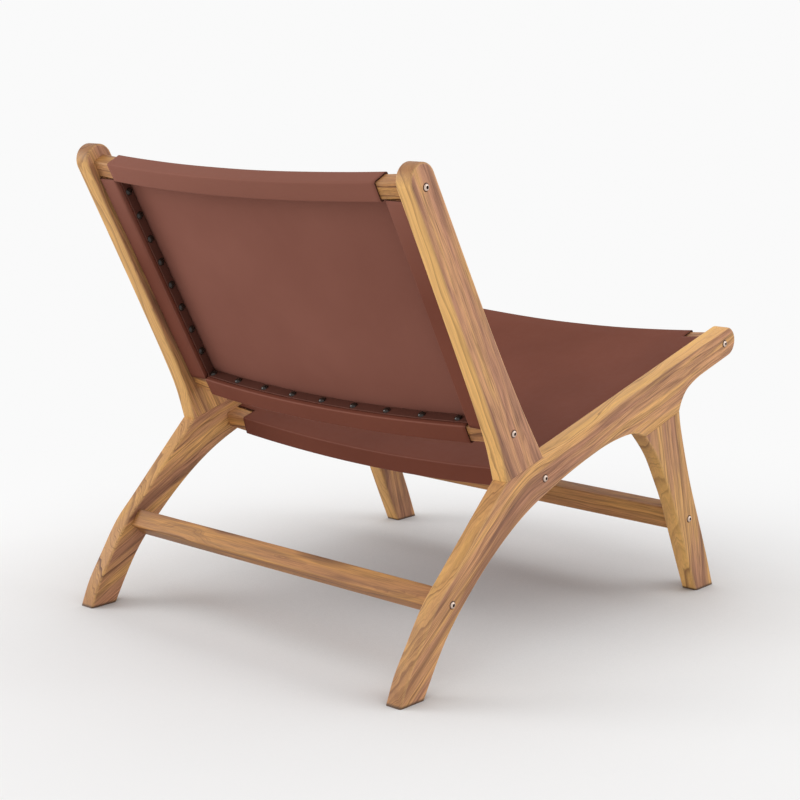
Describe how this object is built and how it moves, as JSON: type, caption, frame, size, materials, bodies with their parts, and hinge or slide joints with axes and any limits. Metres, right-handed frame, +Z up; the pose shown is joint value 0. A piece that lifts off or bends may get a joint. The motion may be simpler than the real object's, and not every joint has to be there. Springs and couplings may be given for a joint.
{
  "type": "sling lounge chair",
  "caption": "Low lounge chair with teak plank side frames and a red-brown leather seat and back tacked round bowed wooden frames, bolted through the sides.",
  "frame": {"origin": "on the floor under the middle of the chair's box", "axes": "+Z up, the seat opens towards -Y and the back leans towards +Y, +X across to the right as seen from the front"},
  "size_m": [0.647, 0.7634, 0.6821],
  "materials": {
    "teak": "oiled",
    "leather": "satin",
    "beech": "bare",
    "steel": "polished",
    "brass": "plain"
  },
  "bodies": {
    "root": {"side_rail_left": "teak", "back_post_left": "teak", "front_leg_left": "teak", "post_dowel_rear_left": "beech", "post_dowel_front_left": "beech", "leg_dowel_rear_left": "beech", "leg_dowel_front_left": "beech", "side_rail_right": "teak", "back_post_right": "teak", "front_leg_right": "teak", "post_dowel_rear_right": "beech", "post_dowel_front_right": "beech", "leg_dowel_rear_right": "beech", "leg_dowel_front_right": "beech", "bolt_back_top_left": "steel", "insert_back_top_left": "brass", "bolt_back_top_right": "steel", "insert_back_top_right": "brass", "bolt_back_bottom_left": "steel", "insert_back_bottom_left": "brass", "bolt_back_bottom_right": "steel", "insert_back_bottom_right": "brass", "bolt_seat_rear_left": "steel", "insert_seat_rear_left": "brass", "bolt_seat_rear_right": "steel", "insert_seat_rear_right": "brass", "bolt_seat_front_left": "steel", "insert_seat_front_left": "brass", "bolt_seat_front_right": "steel", "insert_seat_front_right": "brass", "bolt_rear_stretcher_left": "steel", "insert_rear_stretcher_left": "brass", "bolt_rear_stretcher_right": "steel", "insert_rear_stretcher_right": "brass", "bolt_front_stretcher_left": "steel", "insert_front_stretcher_left": "brass", "bolt_front_stretcher_right": "steel", "insert_front_stretcher_right": "brass", "rear_stretcher": "teak", "front_stretcher": "teak", "back_bottom_rail": "teak", "back_top_rail": "teak", "back_leather": "leather", "back_tack_strip_bottom": "leather", "back_tack_strip_top": "leather", "back_stile_left": "teak", "back_tack_strip_left": "leather", "back_stile_right": "teak", "back_tack_strip_right": "leather", "seat_rear_rail": "teak", "seat_front_rail": "teak", "seat_leather": "leather", "seat_tack_strip_rear": "leather", "seat_tack_strip_front": "leather", "seat_stile_left": "teak", "seat_tack_strip_left": "leather", "seat_stile_right": "teak", "seat_tack_strip_right": "leather"}
  },
  "joints": []
}
